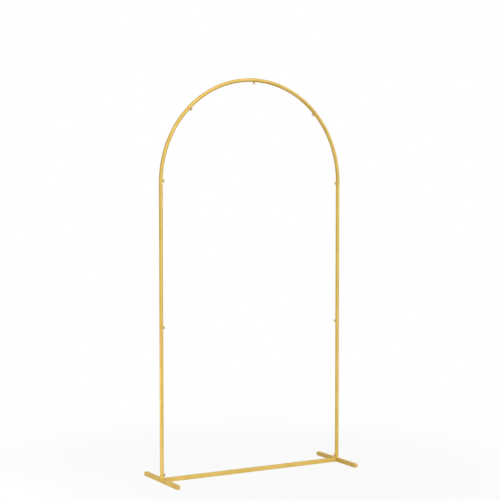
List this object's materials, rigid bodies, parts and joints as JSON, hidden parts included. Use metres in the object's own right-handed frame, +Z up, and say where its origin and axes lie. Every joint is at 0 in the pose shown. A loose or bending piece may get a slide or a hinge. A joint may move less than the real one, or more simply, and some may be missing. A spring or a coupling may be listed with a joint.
{
  "type": "wedding arch",
  "caption": "Free-standing round-topped arch frame of satin gold steel tube on a floor rail and cross feet, joined by spigots and wing nuts.",
  "frame": {"origin": "on the floor, midway between the posts, on the frame's centre plane", "axes": "+X along the arch to the right foot, -Y to the front, +Z up"},
  "size_m": [1.045, 0.37, 2],
  "materials": {
    "frame_gold": "satin gold powder coat",
    "cap_gold": "gold moulded caps",
    "fastener_brass": "brassed bolts and wing nuts"
  },
  "bodies": {
    "root": {"left_foot": "frame_gold", "right_foot": "frame_gold", "left_foot_front_cap": "cap_gold", "left_foot_back_cap": "cap_gold", "right_foot_front_cap": "cap_gold", "right_foot_back_cap": "cap_gold", "left_post_stub": "frame_gold", "right_post_stub": "frame_gold", "left_rail_spigot": "frame_gold", "right_rail_spigot": "frame_gold", "bottom_rail": "frame_gold", "left_lower_post": "frame_gold", "left_upper_post": "frame_gold", "right_upper_post": "frame_gold", "right_lower_post": "frame_gold", "left_lower_arc": "frame_gold", "left_upper_arc": "frame_gold", "right_upper_arc": "frame_gold", "right_lower_arc": "frame_gold"}
  },
  "joints": []
}
